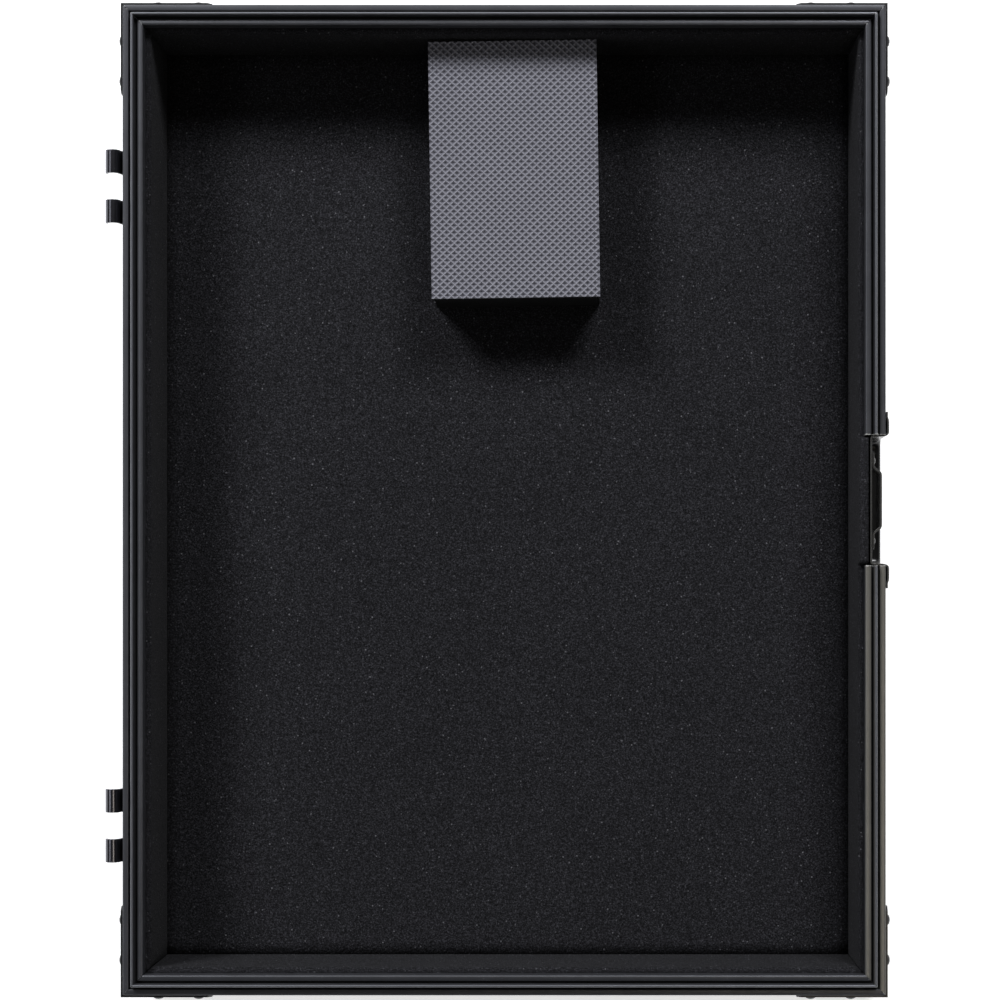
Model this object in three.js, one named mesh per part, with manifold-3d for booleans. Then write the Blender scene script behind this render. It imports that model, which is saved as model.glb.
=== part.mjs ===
// The lid of a black 19-inch equipment flight case, lying on its back with the open side up.
//
// A shallow plywood box with an aluminium tongue rail round its rim, angle edging, corner braces and ball
// corners, a felt lining, a foam rest block, two lift-off hinge leaves and the lid half of a recessed latch.
// Units are millimetres. +X is the latch side, -X the hinge side, +Y the end that holds the rest block, and
// +Z the way the lid opens. The origin is the middle of the underside of the whole lid's bounding box.
import * as THREE from "three";
import { mergeVertices } from "three/addons/utils/BufferGeometryUtils.js";
import Module from "manifold-3d";

// Driving dimensions
const WIDTH = 520; // over the rim rails, hinge side to latch side
const LENGTH = 675; // over the rim rails, end to end
const GAP = 0.3; // air between pieces that touch
const PANEL = 9.5; // plywood
const LINING = 6.2; // felt-faced foam on the walls and the floor
const INNER_DEPTH = 80; // from the rim down to the floor lining

// Rim rail: a channel over the panel's edge, with two flats and a tongue between two grooves on top
const RAIL_WIDTH = 14;
const RAIL_FLAT = 4.1;
const RAIL_SKIRT = 24; // height of the outer leg
const RAIL_LIP = 10; // height of the inner leg
const RAIL_LEG = 1.6;
const RAIL_LIP_LEG = 2.3;
const RAIL_WEB = 4.6; // from the flats down to the underside of the web
const RAIL_ROUND = 0.6;
const GROOVE_DEPTH = 2.4;
const TONGUE_WIDTH = 2;
const TONGUE_RISE = 5;

// Angle edging and ball corners of the closed side
const ANGLE = 30;
const ANGLE_SHEET = 1.6;
const BALL_RADIUS = 13;
const BALL_INSET = 5.6; // the ball's centre, in from the three outer faces
const BALL_REACH = 6; // how far the ball stands out under the lid, where its pole is pressed flat
const BALL_PLATE_RADIUS = 48;
const CORNER_SHEET = 1.5;

// Braces over the corners of the rim
const BRACE_LEG = 60.5;
const BRACE_HEIGHT = 18;
const BRACE_DROP = 2; // its top edge, below the rim
const BRACE_SHEET = 1.2;
const BRACE_CHAMFER = 6;
const BRACE_RIVETS = [23, 50.5]; // from the corner along each leg
const RIVET_RADIUS = 4;
const RIVET_HEIGHT = 2;

// Lift-off hinge leaves
const HINGE_BLOCK_END = 214; // along the side, from its middle
const HINGE_PLAIN_END = -222;
const HOOK_WIDTH = 16;
const HOOK_PITCH = 34;
const HOOK_RADIUS = 5; // outside
const HOOK_STAND = 2; // how far the roll stands out from the plate
const HOOK_BEND_DROP = 12; // where the arm starts to lean out, below the rim
const HOOK_SHEET = 1.7;
const HOOK_TIP = 3; // straight end beyond the roll
const LEAF_HEIGHT = 34;
const LEAF_TOP_DROP = 22;
const LEAF_MARGIN = 5;
const LEAF_RIVET_OFFSET = 17;

// Latch dish, pressed from sheet, and the keeper plate on its back wall
const DISH_WIDTH = 88.2; // outside, between the ends of the rails
const DISH_DEPTH = 10.5;
const DISH_HEIGHT = 54;
const DISH_SHEET = 1.2;
const DISH_FLANGE = 16;
const DISH_TOP_DROP = 0.8;
const KEEPER_LENGTH = 67;
const KEEPER_HEIGHT = 22;
const KEEPER_TOP_DROP = 3;
const KEEPER_SHEET = 1.5;
const KEEPER_BRIDGE = 37; // length of the raised middle at its top
const KEEPER_SLOPE = 4;
const KEEPER_RISE = 5.2;
const KEEPER_RIVET_OFFSET = 27.5;
const KEEPER_RIVET_RADIUS = 2.6;
const KEEPER_RIVET_HEIGHT = 1.5;

// Rest block: foam with an embossed face
const BLOCK_WIDTH = 116.4;
const BLOCK_LENGTH = 177.5;
const BLOCK_TOP_DROP = 26.5; // its face, below the rim
const BLOCK_FACE = 3.2;
const BLOCK_OFFSET = 6; // from the middle, towards the latch
const BLOCK_TURN = THREE.MathUtils.degToRad(0.85);

// Heights, from the surface that the lid lies on
const ANGLE_Z = BALL_REACH;
const PANEL_Z = ANGLE_Z + ANGLE_SHEET + GAP;
const WALL_Z = PANEL_Z + PANEL + GAP;
const FLOOR_Z = WALL_Z + LINING;
const RIM_Z = FLOOR_Z + INNER_DEPTH;

// Depths, from the rim's outer face inwards
const PANEL_IN = RAIL_LEG + GAP;
const PANEL_BACK = PANEL_IN + PANEL;
const LINING_IN = PANEL_BACK + GAP;
const LINING_FACE = LINING_IN + LINING;

// The hooks reach further out than the ball corners, which puts the middle of the bounding box off the lid's.
const HOOK_REACH = GAP + HOOK_STAND + 2 * HOOK_RADIUS;
const BALL_SIDE_REACH = BALL_RADIUS - BALL_INSET;
const SHIFT_X = (HOOK_REACH - BALL_SIDE_REACH) / 2;

const MITRE_PLAY = 0.25; // each mitred end stops this far short
const ARC_STEPS = 4;
const RIVET_SIDES = 12;
const BALL_STEPS = 24;

const wasm = await Module();
wasm.setup();

const materials = {
  plywood: new THREE.MeshStandardMaterial({ color: 0x17181a, roughness: 0.7, metalness: 0 }),
  anodised: new THREE.MeshStandardMaterial({ color: 0x1b1c1f, roughness: 0.35, metalness: 0.8 }),
  steel: new THREE.MeshStandardMaterial({ color: 0x101113, roughness: 0.3, metalness: 0.7 }),
  felt: new THREE.MeshStandardMaterial({ color: 0x141417, roughness: 1, metalness: 0 }),
  foam: new THREE.MeshStandardMaterial({ color: 0x1c1c1e, roughness: 0.95, metalness: 0 }),
  embossed: new THREE.MeshStandardMaterial({ color: 0x4c4d53, roughness: 0.8, metalness: 0 }),
};

const lid = new THREE.Group();
lid.position.x = SHIFT_X;

function add(parent, name, material, geometry) {
  const mesh = new THREE.Mesh(geometry, material);
  mesh.name = name;
  parent.add(mesh);
  return mesh;
}

// Booleans

function solidOf(geometry) {
  const loose = geometry.index ? geometry.toNonIndexed() : geometry;
  const bare = new THREE.BufferGeometry().setAttribute("position", loose.getAttribute("position"));
  const merged = mergeVertices(bare, 1e-4);
  return new wasm.Manifold(
    new wasm.Mesh({
      numProp: 3,
      vertProperties: merged.getAttribute("position").array,
      triVerts: new Uint32Array(merged.index.array),
    }),
  );
}

function geometryOf(solid) {
  const mesh = solid.getMesh();
  const geometry = new THREE.BufferGeometry()
    .setAttribute("position", new THREE.BufferAttribute(mesh.vertProperties, 3))
    .setIndex(new THREE.BufferAttribute(mesh.triVerts, 1));
  geometry.computeVertexNormals();
  return geometry;
}

// Shapes

/** A box between two limits on each axis. */
function box([x0, x1], [y0, y1], [z0, z1]) {
  return new THREE.BoxGeometry(x1 - x0, y1 - y0, z1 - z0).translate(
    (x0 + x1) / 2,
    (y0 + y1) / 2,
    (z0 + z1) / 2,
  );
}

function outline(points) {
  return new THREE.Shape(points.map(([x, y]) => new THREE.Vector2(x, y)));
}

/**
 * Extrudes a section, drawn as depth from the outer face and height, along Y between two limits. A mitre of 1
 * cuts that end at 45 degrees, so that the piece gets shorter inwards, and 0 cuts it square.
 */
function sideBar(section, [from, to], [mitreFrom, mitreTo]) {
  const geometry = new THREE.ExtrudeGeometry(section, {
    depth: 1,
    bevelEnabled: false,
    curveSegments: ARC_STEPS,
  });
  const position = geometry.getAttribute("position");
  for (let i = 0; i < position.count; i++) {
    const depth = position.getX(i);
    const atFrom = position.getZ(i) > 0.5;
    const along = atFrom ? from + depth * mitreFrom : to - depth * mitreTo;
    position.setXYZ(i, depth, along, position.getY(i));
  }
  geometry.computeVertexNormals();
  return geometry;
}

function railSection() {
  const top = RIM_Z;
  const tongueIn = (RAIL_WIDTH - TONGUE_WIDTH) / 2;
  const tongueTop = top + TONGUE_RISE - TONGUE_WIDTH / 2;
  const shape = new THREE.Shape();
  shape.moveTo(0, top - RAIL_SKIRT);
  shape.lineTo(RAIL_LEG, top - RAIL_SKIRT);
  shape.lineTo(RAIL_LEG, top - RAIL_WEB);
  shape.lineTo(RAIL_WIDTH - RAIL_LIP_LEG, top - RAIL_WEB);
  shape.lineTo(RAIL_WIDTH - RAIL_LIP_LEG, top - RAIL_LIP);
  shape.lineTo(RAIL_WIDTH, top - RAIL_LIP);
  shape.absarc(RAIL_WIDTH - RAIL_ROUND, top - RAIL_ROUND, RAIL_ROUND, 0, Math.PI / 2);
  shape.lineTo(RAIL_WIDTH - RAIL_FLAT, top);
  shape.lineTo(RAIL_WIDTH - RAIL_FLAT, top - GROOVE_DEPTH);
  shape.lineTo(tongueIn + TONGUE_WIDTH, top - GROOVE_DEPTH);
  shape.absarc(RAIL_WIDTH / 2, tongueTop, TONGUE_WIDTH / 2, 0, Math.PI);
  shape.lineTo(tongueIn, top - GROOVE_DEPTH);
  shape.lineTo(RAIL_FLAT, top - GROOVE_DEPTH);
  shape.lineTo(RAIL_FLAT, top);
  shape.absarc(RAIL_ROUND, top - RAIL_ROUND, RAIL_ROUND, Math.PI / 2, Math.PI);
  return shape;
}

function edgeAngleSection() {
  return outline([
    [0, ANGLE_Z],
    [ANGLE, ANGLE_Z],
    [ANGLE, ANGLE_Z + ANGLE_SHEET],
    [ANGLE_SHEET, ANGLE_Z + ANGLE_SHEET],
    [ANGLE_SHEET, ANGLE_Z + ANGLE],
    [0, ANGLE_Z + ANGLE],
  ]);
}

function liningSection() {
  return outline([
    [LINING_IN, WALL_Z],
    [LINING_FACE, WALL_Z],
    [LINING_FACE, RIM_Z - RAIL_LIP - GAP],
    [LINING_IN, RIM_Z - RAIL_LIP - GAP],
  ]);
}

/** A domed rivet head that stands on the plane x = 0 and points along -X. */
function rivetHead(radius, height) {
  const ball = (radius * radius + height * height) / (2 * height);
  const spread = Math.asin(radius / ball);
  const profile = [new THREE.Vector2(0, 0), new THREE.Vector2(radius, 0)];
  for (let i = 1; i <= ARC_STEPS; i++) {
    const angle = spread * (1 - i / ARC_STEPS);
    profile.push(new THREE.Vector2(ball * Math.sin(angle), height - ball + ball * Math.cos(angle)));
  }
  profile[profile.length - 1].x = 0;
  return new THREE.LatheGeometry(profile, RIVET_SIDES).rotateZ(Math.PI / 2);
}

// Sides. Each one is a group whose local frame has x inwards from the rim's outer face, y along the side
// and z up, so that the same functions build all four.

function sideGroup(x, y, turn) {
  const group = new THREE.Group();
  group.position.set(x, y, 0);
  group.rotation.z = turn;
  lid.add(group);
  return group;
}

const sides = [
  { name: "hinge_side", group: sideGroup(-WIDTH / 2, 0, 0), length: LENGTH, covers: true },
  { name: "latch_side", group: sideGroup(WIDTH / 2, 0, Math.PI), length: LENGTH, covers: true },
  { name: "block_end", group: sideGroup(0, LENGTH / 2, -Math.PI / 2), length: WIDTH, covers: false },
  { name: "plain_end", group: sideGroup(0, -LENGTH / 2, Math.PI / 2), length: WIDTH, covers: false },
];
const [hingeSide, latchSide] = sides;

const dishHalf = DISH_WIDTH / 2;
const railGap = dishHalf + 1.3 * GAP;

/** The wall panels of the long sides cover the ends of the other two. */
function addWallPanel({ name, group, length, covers }) {
  const half = length / 2 - (covers ? PANEL_IN : PANEL_BACK + GAP);
  const top = RIM_Z - RAIL_WEB - GAP;
  let geometry = box([PANEL_IN, PANEL_BACK], [-half, half], [WALL_Z, top]);
  if (name === latchSide.name) {
    const cutOut = box([0, 2 * PANEL], [-railGap, railGap], [RIM_Z - DISH_HEIGHT - 2 * GAP, top + 1]);
    geometry = geometryOf(solidOf(geometry).subtract(solidOf(cutOut)));
  }
  add(group, `wall_panel_${name}`, materials.plywood, geometry);
}

function addRail({ name, group, length }) {
  const end = length / 2 - MITRE_PLAY;
  if (name !== latchSide.name) {
    add(group, `rim_rail_${name}`, materials.anodised, sideBar(railSection(), [-end, end], [1, 1]));
    return;
  }
  const near = sideBar(railSection(), [-end, -railGap], [1, 0]);
  const far = sideBar(railSection(), [railGap, end], [0, 1]);
  add(group, `rim_rail_${name}_by_block`, materials.anodised, near);
  add(group, `rim_rail_${name}_plain`, materials.anodised, far);
}

function addEdgeAngle({ name, group, length }) {
  const end = length / 2 - MITRE_PLAY;
  add(group, `edge_angle_${name}`, materials.anodised, sideBar(edgeAngleSection(), [-end, end], [1, 1]));
}

/** Behind the latch dish, where there is no rail, the lining goes on up to the rim. */
function addWallLining({ name, group, length }) {
  const end = length / 2 - MITRE_PLAY;
  let geometry = sideBar(liningSection(), [-end, end], [1, 1]);
  if (name === latchSide.name) {
    const reach = dishHalf - GAP;
    const tab = box([LINING_IN, LINING_FACE], [-reach, reach], [RIM_Z - RAIL_SKIRT, RIM_Z - 1]);
    geometry = geometryOf(solidOf(geometry).add(solidOf(tab)));
  }
  add(group, `lining_${name}`, materials.felt, geometry);
}

for (const side of sides) {
  addWallPanel(side);
  addRail(side);
  addEdgeAngle(side);
  addWallLining(side);
}

// Top panel of the lid, which lies underneath here, and the lining on it

function addFloor() {
  const panelX = WIDTH / 2 - PANEL_IN;
  const panelY = LENGTH / 2 - PANEL_IN;
  const panel = box([-panelX, panelX], [-panelY, panelY], [PANEL_Z, PANEL_Z + PANEL]);
  add(lid, "outer_panel", materials.plywood, panel);
  const liningX = WIDTH / 2 - LINING_FACE - GAP;
  const liningY = LENGTH / 2 - LINING_FACE - GAP;
  const lining = box([-liningX, liningX], [-liningY, liningY], [WALL_Z, FLOOR_Z]);
  add(lid, "lining_floor", materials.felt, lining);
}
addFloor();

// Corners. Each one is a group at the rim's outer corner whose local x and y both point inwards.

const corners = [
  { name: "hinge_block", x: -1, y: 1 },
  { name: "hinge_plain", x: -1, y: -1 },
  { name: "latch_block", x: 1, y: 1 },
  { name: "latch_plain", x: 1, y: -1 },
];

function cornerGroup({ x, y }) {
  const group = new THREE.Group();
  group.position.set((x * WIDTH) / 2, (y * LENGTH) / 2, 0);
  group.scale.set(-x, -y, 1);
  lid.add(group);
  return group;
}

/** The upright angle between the edge angles and the rim rails. */
function addCornerAngle(name, group) {
  const section = outline([
    [0, 0],
    [ANGLE, 0],
    [ANGLE, ANGLE_SHEET],
    [ANGLE_SHEET, ANGLE_SHEET],
    [ANGLE_SHEET, ANGLE],
    [0, ANGLE],
  ]);
  const bottom = ANGLE_Z + ANGLE + GAP;
  const depth = RIM_Z - RAIL_SKIRT - GAP - bottom;
  const geometry = new THREE.ExtrudeGeometry(section, { depth, bevelEnabled: false });
  add(group, `corner_angle_${name}`, materials.anodised, geometry.translate(0, 0, bottom));
}

/** A pressed corner: three plates with a round outline and a ball over the point where they meet. */
function addBallCorner(name, group) {
  const outer = -GAP - CORNER_SHEET;
  const reach = [outer, BALL_PLATE_RADIUS];
  const ballAt = [BALL_INSET, BALL_INSET, BALL_INSET];
  const plates = solidOf(box(reach, reach, reach)).intersect(
    solidOf(new THREE.SphereGeometry(BALL_PLATE_RADIUS, BALL_STEPS * 2, BALL_STEPS)),
  );
  const ball = solidOf(new THREE.SphereGeometry(BALL_RADIUS, BALL_STEPS, BALL_STEPS / 2).translate(...ballAt));
  const filled = [-GAP, 2 * BALL_PLATE_RADIUS];
  const foot = box([-2 * ANGLE, 2 * ANGLE], [-2 * ANGLE, 2 * ANGLE], [-BALL_REACH, 2 * ANGLE]);
  const corner = plates.add(ball).subtract(solidOf(box(filled, filled, filled))).intersect(solidOf(foot));
  add(group, `ball_corner_${name}`, materials.steel, geometryOf(corner).translate(0, 0, ANGLE_Z));
}

/** One leg of a brace, drawn along +X with its inner face on y = 0 and its top edge at z = 0. */
function braceLeg() {
  const start = -GAP - BRACE_SHEET;
  const section = outline([
    [start, -BRACE_HEIGHT],
    [BRACE_LEG - BRACE_CHAMFER, -BRACE_HEIGHT],
    [BRACE_LEG, BRACE_CHAMFER - BRACE_HEIGHT],
    [BRACE_LEG, -BRACE_CHAMFER / 2],
    [BRACE_LEG - BRACE_CHAMFER / 2, 0],
    [start, 0],
  ]);
  return new THREE.ExtrudeGeometry(section, { depth: BRACE_SHEET, bevelEnabled: false }).rotateX(Math.PI / 2);
}

function addBrace(name, group) {
  const top = RIM_Z - BRACE_DROP;
  const onEnd = braceLeg().translate(0, -GAP, top);
  const onSide = braceLeg()
    .rotateZ(Math.PI / 2)
    .translate(-GAP - BRACE_SHEET, 0, top);
  add(group, `corner_brace_${name}`, materials.steel, geometryOf(solidOf(onEnd).add(solidOf(onSide))));
}

function addBraceRivets(name, group) {
  const height = RIM_Z - BRACE_DROP - BRACE_HEIGHT / 2;
  const standOff = -2 * GAP - BRACE_SHEET;
  BRACE_RIVETS.forEach((along, i) => {
    const onSide = rivetHead(RIVET_RADIUS, RIVET_HEIGHT).translate(standOff, along, height);
    const onEnd = rivetHead(RIVET_RADIUS, RIVET_HEIGHT).rotateZ(Math.PI / 2).translate(along, standOff, height);
    add(group, `brace_rivet_${name}_side_${i + 1}`, materials.steel, onSide);
    add(group, `brace_rivet_${name}_end_${i + 1}`, materials.steel, onEnd);
  });
}

for (const corner of corners) {
  const group = cornerGroup(corner);
  addCornerAngle(corner.name, group);
  addBallCorner(corner.name, group);
  addBrace(corner.name, group);
  addBraceRivets(corner.name, group);
}

// Hinge leaves: a plate on the wall with two arms that rise past the rail and roll over outwards

/** The section of one arm, drawn as depth and height: up the wall, out, over the roll and down to the tip. */
function hookSection() {
  const outer = HOOK_RADIUS;
  const inner = HOOK_RADIUS - HOOK_SHEET;
  const x = -GAP - HOOK_STAND - HOOK_RADIUS;
  const z = RIM_Z - HOOK_RADIUS;
  const bottom = RIM_Z - LEAF_TOP_DROP - HOOK_SHEET;
  const bend = RIM_Z - HOOK_BEND_DROP;
  const shape = new THREE.Shape();
  shape.moveTo(-GAP - HOOK_SHEET, bottom);
  shape.lineTo(-GAP, bottom);
  shape.lineTo(-GAP, bend);
  shape.lineTo(x + outer, z);
  shape.absarc(x, z, outer, 0, Math.PI);
  shape.lineTo(x - outer, z - HOOK_TIP);
  shape.lineTo(x - inner, z - HOOK_TIP);
  shape.absarc(x, z, inner, Math.PI, 0, true);
  shape.lineTo(-GAP - HOOK_SHEET, bend);
  return shape;
}

function addHinge(name, middle) {
  const half = (HOOK_PITCH + HOOK_WIDTH) / 2 + LEAF_MARGIN;
  const top = RIM_Z - LEAF_TOP_DROP;
  const plate = box([-GAP - HOOK_SHEET, -GAP], [-half, half], [top - LEAF_HEIGHT, top]);
  let leaf = solidOf(plate);
  for (const place of [-HOOK_PITCH / 2, HOOK_PITCH / 2]) {
    const span = [place - HOOK_WIDTH / 2, place + HOOK_WIDTH / 2];
    leaf = leaf.add(solidOf(sideBar(hookSection(), span, [0, 0])));
  }
  add(hingeSide.group, `hinge_leaf_${name}`, materials.steel, geometryOf(leaf).translate(0, middle, 0));
  [-LEAF_RIVET_OFFSET, LEAF_RIVET_OFFSET].forEach((offset, i) => {
    const head = rivetHead(RIVET_RADIUS, RIVET_HEIGHT);
    head.translate(-2 * GAP - HOOK_SHEET, middle + offset, top - LEAF_HEIGHT / 2);
    add(hingeSide.group, `hinge_rivet_${name}_${i + 1}`, materials.steel, head);
  });
}
addHinge("block_end", HINGE_BLOCK_END);
addHinge("plain_end", HINGE_PLAIN_END);

// Latch: the lid half of the recessed dish, open at the rim, and the keeper that the latch pulls on

function addDish() {
  const flange = dishHalf + DISH_FLANGE;
  const top = RIM_Z - DISH_TOP_DROP;
  const bottom = RIM_Z - DISH_HEIGHT;
  const outer = -GAP - DISH_SHEET;
  const plate = solidOf(box([outer, -GAP], [-flange, flange], [bottom - DISH_FLANGE, top]));
  const body = solidOf(box([outer, DISH_DEPTH], [-dishHalf, dishHalf], [bottom, top]));
  const reach = dishHalf - DISH_SHEET;
  const recess = box([outer - 1, DISH_DEPTH - DISH_SHEET], [-reach, reach], [bottom + DISH_SHEET, top + 1]);
  const dish = plate.add(body).subtract(solidOf(recess));
  add(latchSide.group, "latch_dish", materials.steel, geometryOf(dish));
}

/** A plate with a raised bridge in the middle, drawn in plan and extruded upwards. */
function keeperSection() {
  const back = DISH_DEPTH - DISH_SHEET - GAP;
  const front = back - KEEPER_RISE;
  const end = KEEPER_LENGTH / 2;
  const crest = KEEPER_BRIDGE / 2;
  const foot = crest + KEEPER_SLOPE;
  return outline([
    [back, -end],
    [back, -foot],
    [front, -crest],
    [front, crest],
    [back, foot],
    [back, end],
    [back - KEEPER_SHEET, end],
    [back - KEEPER_SHEET, foot - KEEPER_SHEET / 2],
    [front - KEEPER_SHEET, crest],
    [front - KEEPER_SHEET, -crest],
    [back - KEEPER_SHEET, KEEPER_SHEET / 2 - foot],
    [back - KEEPER_SHEET, -end],
  ]);
}

function addKeeper() {
  const bottom = RIM_Z - KEEPER_TOP_DROP - KEEPER_HEIGHT;
  const bar = new THREE.ExtrudeGeometry(keeperSection(), { depth: KEEPER_HEIGHT, bevelEnabled: false });
  add(latchSide.group, "latch_keeper", materials.steel, bar.translate(0, 0, bottom));
  const standOff = DISH_DEPTH - DISH_SHEET - KEEPER_SHEET - 2 * GAP;
  [-KEEPER_RIVET_OFFSET, KEEPER_RIVET_OFFSET].forEach((offset, i) => {
    const head = rivetHead(KEEPER_RIVET_RADIUS, KEEPER_RIVET_HEIGHT);
    head.translate(standOff, offset, bottom + KEEPER_HEIGHT / 2);
    add(latchSide.group, `keeper_rivet_${i + 1}`, materials.steel, head);
  });
}
addDish();
addKeeper();

// Rest block, glued to the floor lining against the end wall, a little askew

function addBlock() {
  const group = new THREE.Group();
  const lean = (BLOCK_WIDTH / 2) * Math.sin(BLOCK_TURN);
  const wall = LENGTH / 2 - LINING_FACE - GAP - lean;
  group.position.set(BLOCK_OFFSET, wall - BLOCK_LENGTH / 2, 0);
  group.rotation.z = BLOCK_TURN;
  lid.add(group);
  const x = [-BLOCK_WIDTH / 2, BLOCK_WIDTH / 2];
  const y = [-BLOCK_LENGTH / 2, BLOCK_LENGTH / 2];
  const top = RIM_Z - BLOCK_TOP_DROP;
  add(group, "block_core", materials.foam, box(x, y, [FLOOR_Z + GAP, top - BLOCK_FACE - GAP]));
  add(group, "block_face", materials.embossed, box(x, y, [top - BLOCK_FACE, top]));
}
addBlock();

export default lid;
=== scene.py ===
# Looks of the lid of a black 19-inch equipment flight case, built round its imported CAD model.
#
# The lid lies on its back with its open side up. Sizes below are in metres. Places come from the frame's own
# nodes: every side of the lid has a local frame with x inwards from the rim's outer face, y along the side
# and z up, and the same functions build all four sides in it.
import math

import bmesh
import bpy
from mathutils import Matrix, Vector, noise


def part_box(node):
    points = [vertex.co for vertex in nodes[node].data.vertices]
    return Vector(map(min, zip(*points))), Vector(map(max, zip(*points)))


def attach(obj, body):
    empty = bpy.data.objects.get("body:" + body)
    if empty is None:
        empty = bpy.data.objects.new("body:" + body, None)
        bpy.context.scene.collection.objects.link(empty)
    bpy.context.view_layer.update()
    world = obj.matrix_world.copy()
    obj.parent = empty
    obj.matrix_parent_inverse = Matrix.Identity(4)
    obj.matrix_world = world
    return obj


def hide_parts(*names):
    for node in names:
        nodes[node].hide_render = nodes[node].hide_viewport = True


MM = 0.001

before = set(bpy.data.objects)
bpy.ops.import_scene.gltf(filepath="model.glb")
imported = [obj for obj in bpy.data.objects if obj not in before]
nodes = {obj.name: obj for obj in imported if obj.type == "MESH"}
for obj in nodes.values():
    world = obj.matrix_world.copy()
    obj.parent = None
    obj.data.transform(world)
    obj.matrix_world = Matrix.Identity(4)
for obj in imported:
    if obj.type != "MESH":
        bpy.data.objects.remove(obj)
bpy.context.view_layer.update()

# ---------------------------------------------------------------------------------------------------------
# Places from the frame

TONGUE_RISE = 5 * MM
TOUCH_GAP = 0.3 * MM

# The lattice of diamond pits in the rest block's face
DIAMOND_X = 5.24 * MM
DIAMOND_Y = 4.83 * MM
DIAMOND_DEPTH = 1.3 * MM
DIAMOND_RIDGE = 0.06  # share of a diamond that is flat ridge
DIAMOND_FLOOR = 0.1  # size of a pit's floor, as a share of its diamond's

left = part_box("rim_rail_hinge_side")[0].x
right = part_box("rim_rail_latch_side_plain")[1].x
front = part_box("rim_rail_plain_end")[0].y
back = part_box("rim_rail_block_end")[1].y
rim_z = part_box("rim_rail_hinge_side")[1].z - TONGUE_RISE
floor_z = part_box("lining_floor")[1].z
middle_x = (left + right) / 2
middle_y = (front + back) / 2
half_width = (right - left) / 2
half_length = (back - front) / 2


def side_place(x, y, turn):
    """A side's local frame: its middle on the rim's outer face, turned about Z."""
    return Matrix.Translation((x, y, 0)) @ Matrix.Rotation(turn, 4, "Z")


SIDES = {
    "hinge_side": (side_place(left, middle_y, 0), back - front),
    "latch_side": (side_place(right, middle_y, math.pi), back - front),
    "block_end": (side_place(middle_x, back, -math.pi / 2), right - left),
    "plain_end": (side_place(middle_x, front, math.pi / 2), right - left),
}

# ---------------------------------------------------------------------------------------------------------
# Mesh helpers


def link_object(name, data):
    made = bpy.data.objects.new(name, data)
    bpy.context.scene.collection.objects.link(made)
    return made


def make_piece(name, verts, faces, place=Matrix(), smooth=True):
    """A mesh object with its faces turned outwards; place takes the vertices to the lid's own frame."""
    mesh = bpy.data.meshes.new(name)
    mesh.from_pydata([place @ Vector(v) for v in verts], [], faces)
    work = bmesh.new()
    work.from_mesh(mesh)
    bmesh.ops.recalc_face_normals(work, faces=work.faces)
    work.to_mesh(mesh)
    work.free()
    for polygon in mesh.polygons:
        polygon.use_smooth = smooth
    return link_object(name, mesh)


def grid_faces(rows, columns, closed=False):
    """Quads over a grid of points stored row by row; closed joins the last column to the first."""
    faces = []
    for i in range(rows - 1):
        this, above = i * columns, (i + 1) * columns
        for j in range(columns if closed else columns - 1):
            j2 = (j + 1) % columns
            faces.append((this + j, this + j2, above + j2, above + j))
    return faces


def arc(centre, radius, start, end, steps):
    """Points on an arc, both ends included; angles in degrees."""
    points = []
    for i in range(steps + 1):
        angle = math.radians(start + (end - start) * i / steps)
        points.append((centre[0] + radius * math.cos(angle), centre[1] + radius * math.sin(angle)))
    return points


def ring_points(radius, height, count):
    """Points on a level circle round the Z axis."""
    angles = [math.tau * i / count for i in range(count)]
    return [(radius * math.cos(angle), radius * math.sin(angle), height) for angle in angles]


def clamped(share):
    return max(0.0, min(1.0, share))


def spaced(low, high, count):
    """Evenly spaced values, both ends included."""
    return [low + (high - low) * i / (count - 1) for i in range(count)]


def add_bevel(piece, width, segments=2, angle=30):
    """Rounds every edge where two faces meet at more than the angle in degrees."""
    bevel = piece.modifiers.new("bevel", "BEVEL")
    bevel.width = width
    bevel.segments = segments
    bevel.limit_method = "ANGLE"
    bevel.angle_limit = math.radians(angle)
    bevel.harden_normals = True


def add_thickness(piece, thickness):
    """Gives a sheet its thickness, half on each side of its mesh."""
    solidify = piece.modifiers.new("thickness", "SOLIDIFY")
    solidify.thickness = thickness
    solidify.offset = 0
    solidify.use_even_offset = True


def add_weld(piece):
    """Joins the split corners of a CAD solid."""
    weld = piece.modifiers.new("weld", "WELD")
    weld.merge_threshold = 0.01 * MM


def close_below(work, floor):
    """Walls down from an open sheet's boundary to the height floor, and a bottom."""
    made = bmesh.ops.extrude_edge_only(work, edges=[e for e in work.edges if e.is_boundary])["geom"]
    for vert in (v for v in made if isinstance(v, bmesh.types.BMVert)):
        vert.co.z = floor
    bmesh.ops.contextual_create(work, geom=[e for e in work.edges if e.is_boundary])
    bmesh.ops.recalc_face_normals(work, faces=work.faces)


def end_caps(points, ring):
    """The first and the last ring of a lofted solid, as two closing faces."""
    return [tuple(range(ring)), tuple(reversed(range(points - ring, points)))]


def paint(piece, material):
    piece.data.materials.clear()
    piece.data.materials.append(material)


def finish_piece(piece, material, slot, *replaced):
    paint(piece, material)
    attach(piece, "root")
    if replaced:
        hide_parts(*replaced)


# ---------------------------------------------------------------------------------------------------------
# Material helpers and recipes


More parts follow.
